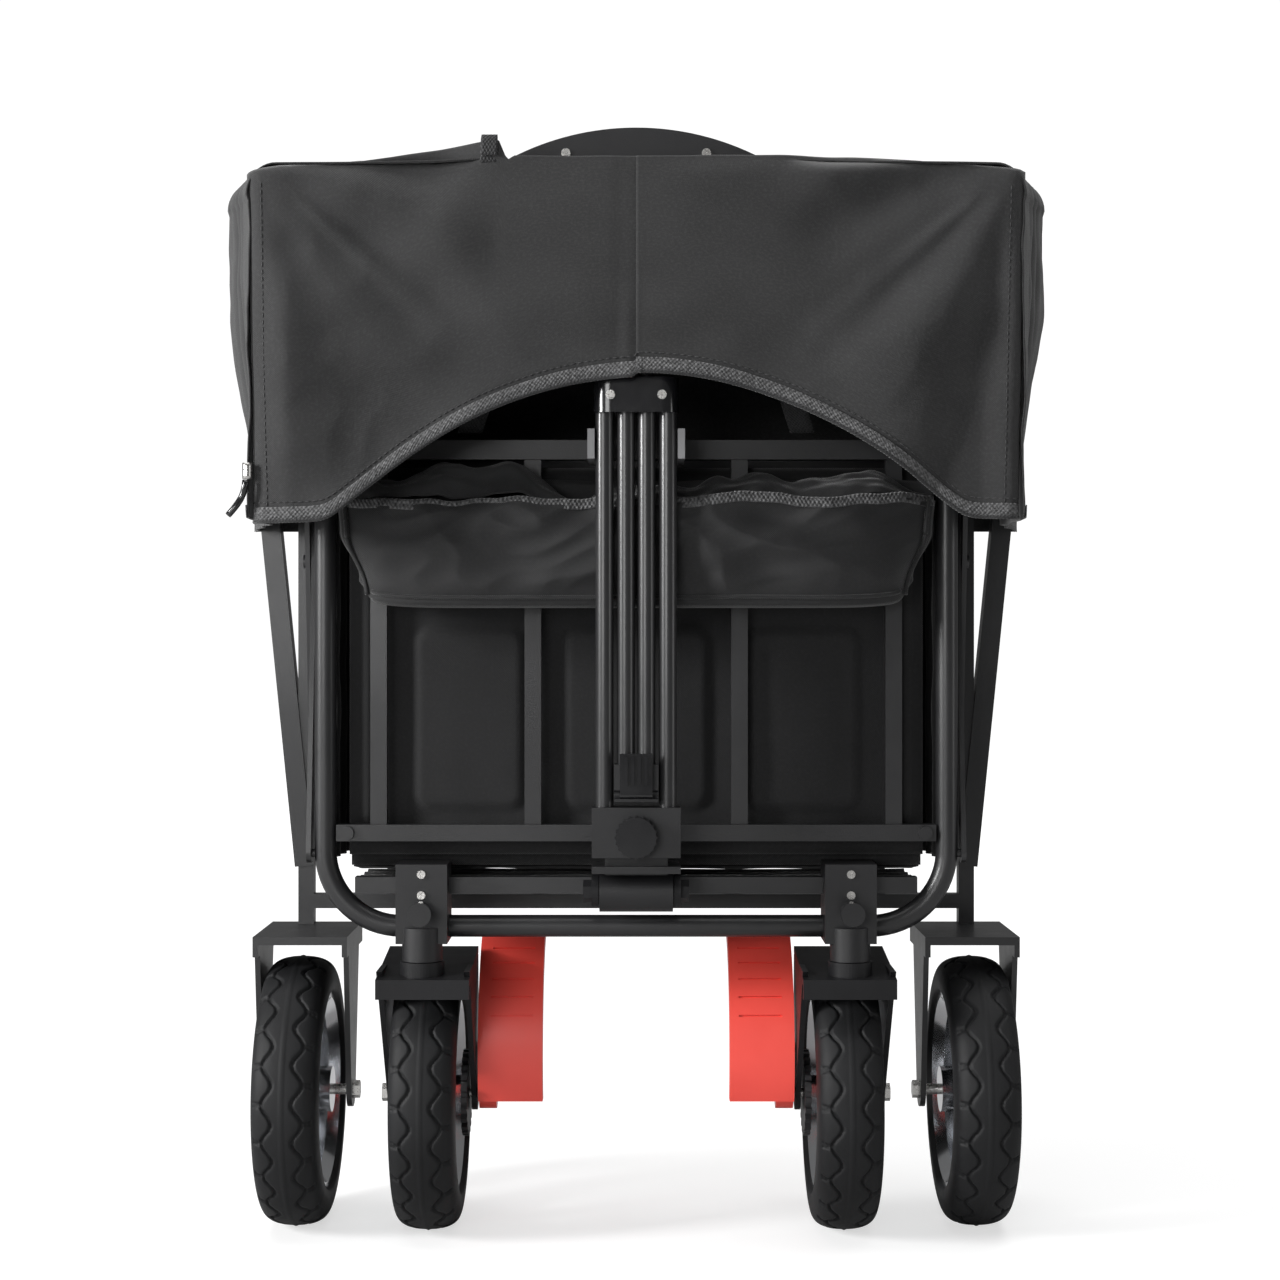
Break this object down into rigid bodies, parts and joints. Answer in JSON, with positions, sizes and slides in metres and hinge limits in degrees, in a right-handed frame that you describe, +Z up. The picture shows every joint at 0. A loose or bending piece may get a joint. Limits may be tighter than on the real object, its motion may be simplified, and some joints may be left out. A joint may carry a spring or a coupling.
{
  "type": "folding kids wagon",
  "caption": "Folding four-wheeled kids wagon, folded upright, with a sun canopy, pull handle, swivelling casters and red foot brakes.",
  "frame": {"origin": "centre of the bounding box on the floor", "axes": "+X to the wagon's right seen from the handle end, -Y is the handle end, +Z up"},
  "size_m": [0.644, 0.256, 0.806],
  "materials": {
    "frame_paint": "satin black powder coat",
    "tube_paint": "semi-gloss black powder coat",
    "black_plastic": "fine-textured moulded plastic",
    "grey_plastic": "plain moulded grey plastic",
    "gloss_plastic": "glossy moulded black plastic",
    "tyre_rubber": "matt moulded rubber",
    "rim_chrome": "bright chrome plate",
    "brake_plastic": "plain moulded black plastic",
    "pedal_red": "satin moulded red plastic",
    "zinc_steel": "bright zinc plate",
    "canopy_cloth": "plain-weave coated polyester",
    "pouch_cloth": "plain-weave coated polyester",
    "basket_cloth": "plain-weave coated polyester",
    "board_cloth": "padded cloth over a stiff board"
  },
  "bodies": {
    "front_frame": {"front_tube": "frame_paint", "front_lower_bar": "frame_paint", "front_grille": "frame_paint", "handle_clips": "grey_plastic", "frame_bolts": "frame_paint", "caster_housing_left": "black_plastic", "caster_housing_right": "black_plastic", "housing_screws": "zinc_steel", "handle_clevis": "frame_paint", "front_pouch": "pouch_cloth", "front_wall": "basket_cloth", "side_fabric": "basket_cloth"},
    "rear_frame": {"rear_frame": "frame_paint", "rear_grille": "frame_paint", "rear_wall": "basket_cloth", "rear_fork_left": "frame_paint", "rear_fork_right": "frame_paint", "rear_axle_left": "zinc_steel", "rear_axle_right": "zinc_steel"},
    "front_link_a": {"front_link_a": "frame_paint"},
    "front_link_b": {"front_link_b": "frame_paint"},
    "front_collars": {"front_collars": "grey_plastic"},
    "rear_link_a": {"rear_link_a": "frame_paint"},
    "rear_link_b": {"rear_link_b": "frame_paint"},
    "rear_collars": {"rear_collars": "grey_plastic"},
    "floor_front": {"floor_board_front": "board_cloth"},
    "floor_rear": {"floor_board_rear": "board_cloth"},
    "floor_centre": {"floor_centre_board": "board_cloth"},
    "handle": {"handle_base": "black_plastic", "handle_outer_tubes": "tube_paint", "handle_collar": "gloss_plastic", "collar_screws": "zinc_steel"},
    "handle_upper": {"handle_inner_tubes": "tube_paint", "handle_carriage": "black_plastic", "handle_grip": "black_plastic", "grip_screws": "zinc_steel"},
    "handle_latch": {"handle_latch": "gloss_plastic"},
    "handle_knob": {"handle_knob": "gloss_plastic"},
    "canopy_front": {"front_canopy_bow": "frame_paint", "canopy_top": "canopy_cloth", "canopy_flap": "canopy_cloth"},
    "canopy_rear": {"rear_canopy_bow": "frame_paint"},
    "caster_left": {"caster_fork_left": "frame_paint", "front_axle_left": "zinc_steel"},
    "front_wheel_left": {"front_tyre_left": "tyre_rubber", "front_rim_left": "rim_chrome", "brake_ring_left": "brake_plastic"},
    "brake_pedal_left": {"brake_pedal_left": "pedal_red"},
    "swivel_lock_left": {"swivel_lock_left": "gloss_plastic"},
    "rear_wheel_left": {"rear_tyre_left": "tyre_rubber", "rear_rim_left": "rim_chrome"},
    "caster_right": {"caster_fork_right": "frame_paint", "front_axle_right": "zinc_steel"},
    "front_wheel_right": {"front_tyre_right": "tyre_rubber", "front_rim_right": "rim_chrome", "brake_ring_right": "brake_plastic"},
    "brake_pedal_right": {"brake_pedal_right": "pedal_red"},
    "swivel_lock_right": {"swivel_lock_right": "gloss_plastic"},
    "rear_wheel_right": {"rear_tyre_right": "tyre_rubber", "rear_rim_right": "rim_chrome"}
  },
  "joints": [
    {"name": "unfold", "type": "slide", "parent": "front_frame", "child": "rear_frame", "axis": [0, 1, 0], "range_m": [0, 0.57], "deforming": ["side_fabric", "canopy_top"]},
    {"name": "front_link_a_turn", "type": "hinge", "parent": "front_frame", "child": "front_link_a", "pos_m": [0, -0.04, 0.285], "axis": [-1, 0, 0], "range_deg": [0, 45.61]},
    {"name": "front_link_b_turn", "type": "hinge", "parent": "front_link_a", "child": "front_link_b", "pos_m": [0, -0.01125, 0.49807], "axis": [1, 0, 0], "range_deg": [0, 91.22]},
    {"name": "front_collar_turn", "type": "hinge", "parent": "front_link_b", "child": "front_collars", "pos_m": [0, -0.04, 0.71114], "axis": [-1, 0, 0], "range_deg": [0, 45.61]},
    {"name": "rear_link_a_turn", "type": "hinge", "parent": "rear_frame", "child": "rear_link_a", "pos_m": [0, 0.075, 0.285], "axis": [1, 0, 0], "range_deg": [0, 45.61]},
    {"name": "rear_link_b_turn", "type": "hinge", "parent": "rear_link_a", "child": "rear_link_b", "pos_m": [0, 0.04625, 0.49807], "axis": [-1, 0, 0], "range_deg": [0, 91.22]},
    {"name": "rear_collar_turn", "type": "hinge", "parent": "rear_link_b", "child": "rear_collars", "pos_m": [0, 0.075, 0.71114], "axis": [1, 0, 0], "range_deg": [0, 45.61]},
    {"name": "floor_front_turn", "type": "hinge", "parent": "front_frame", "child": "floor_front", "pos_m": [0, -0.014, 0.278], "axis": [-1, 0, 0], "range_deg": [0, 90.5]},
    {"name": "floor_rear_turn", "type": "hinge", "parent": "rear_frame", "child": "floor_rear", "pos_m": [0, 0.049, 0.278], "axis": [1, 0, 0], "range_deg": [0, 90.5]},
    {"name": "floor_centre_slide", "type": "slide", "parent": "front_frame", "child": "floor_centre", "axis": [0, 1, 0], "range_m": [0, 0.286]},
    {"name": "canopy_raise", "type": "slide", "parent": "front_frame", "child": "canopy_front", "axis": [0, 0, 1], "range_m": [0, 0.3]},
    {"name": "canopy_spread", "type": "slide", "parent": "canopy_front", "child": "canopy_rear", "axis": [0, 1, 0], "range_m": [0, 0.571]},
    {"name": "handle_fold", "type": "hinge", "parent": "front_frame", "child": "handle", "pos_m": [0, -0.084, 0.262], "axis": [1, 0, 0], "range_deg": [0, 95], "deforming": ["canopy_flap"]},
    {"name": "handle_extend", "type": "slide", "parent": "handle", "child": "handle_upper", "axis": [0, 0, 1], "range_m": [0, 0.22]},
    {"name": "latch_press", "type": "hinge", "parent": "handle_upper", "child": "handle_latch", "pos_m": [0, -0.109, 0.332], "axis": [1, 0, 0], "range_deg": [0, 12], "stiffness_Nm_per_rad": 0.6},
    {"name": "knob_turn", "type": "hinge", "parent": "handle", "child": "handle_knob", "pos_m": [0, -0.1125, 0.303], "axis": [0, 1, 0], "continuous": true},
    {"name": "swivel_left", "type": "hinge", "parent": "front_frame", "child": "caster_left", "pos_m": [-0.154, -0.058, 0.209], "axis": [0, 0, 1], "range_deg": [-40, 6]},
    {"name": "front_wheel_spin_left", "type": "hinge", "parent": "caster_left", "child": "front_wheel_left", "pos_m": [-0.154, 0.016, 0.1], "axis": [1, 0, 0], "continuous": true},
    {"name": "brake_left", "type": "hinge", "parent": "caster_left", "child": "brake_pedal_left", "pos_m": [-0.154, 0.016, 0.1], "axis": [-1, 0, 0], "range_deg": [0, 20]},
    {"name": "swivel_lock_pull_left", "type": "slide", "parent": "front_frame", "child": "swivel_lock_left", "axis": [0, -1, 0], "range_m": [0, 0.006], "stiffness_N_per_m": 500},
    {"name": "rear_wheel_spin_left", "type": "hinge", "parent": "rear_frame", "child": "rear_wheel_left", "pos_m": [-0.254, 0.028, 0.1], "axis": [1, 0, 0], "continuous": true},
    {"name": "swivel_right", "type": "hinge", "parent": "front_frame", "child": "caster_right", "pos_m": [0.154, -0.058, 0.209], "axis": [0, 0, 1], "range_deg": [-6, 40]},
    {"name": "front_wheel_spin_right", "type": "hinge", "parent": "caster_right", "child": "front_wheel_right", "pos_m": [0.154, 0.016, 0.1], "axis": [1, 0, 0], "continuous": true},
    {"name": "brake_right", "type": "hinge", "parent": "caster_right", "child": "brake_pedal_right", "pos_m": [0.154, 0.016, 0.1], "axis": [-1, 0, 0], "range_deg": [0, 20]},
    {"name": "swivel_lock_pull_right", "type": "slide", "parent": "front_frame", "child": "swivel_lock_right", "axis": [0, -1, 0], "range_m": [0, 0.006], "stiffness_N_per_m": 500},
    {"name": "rear_wheel_spin_right", "type": "hinge", "parent": "rear_frame", "child": "rear_wheel_right", "pos_m": [0.254, 0.028, 0.1], "axis": [1, 0, 0], "continuous": true}
  ],
  "couplings": [
    {"joint": "front_link_a_turn", "follows": "unfold", "rad_per_m": 1.3814},
    {"joint": "front_link_b_turn", "follows": "unfold", "rad_per_m": 2.7627},
    {"joint": "front_collar_turn", "follows": "unfold", "rad_per_m": 1.3814},
    {"joint": "rear_link_a_turn", "follows": "unfold", "rad_per_m": 1.3814},
    {"joint": "rear_link_b_turn", "follows": "unfold", "rad_per_m": 2.7627},
    {"joint": "rear_collar_turn", "follows": "unfold", "rad_per_m": 1.3814},
    {"joint": "floor_front_turn", "follows": "unfold", "rad_per_m": 2.7558},
    {"joint": "floor_rear_turn", "follows": "unfold", "rad_per_m": 2.7558},
    {"joint": "floor_centre_slide", "follows": "unfold", "ratio": 0.5},
    {"joint": "canopy_spread", "follows": "unfold", "ratio": 1}
  ]
}
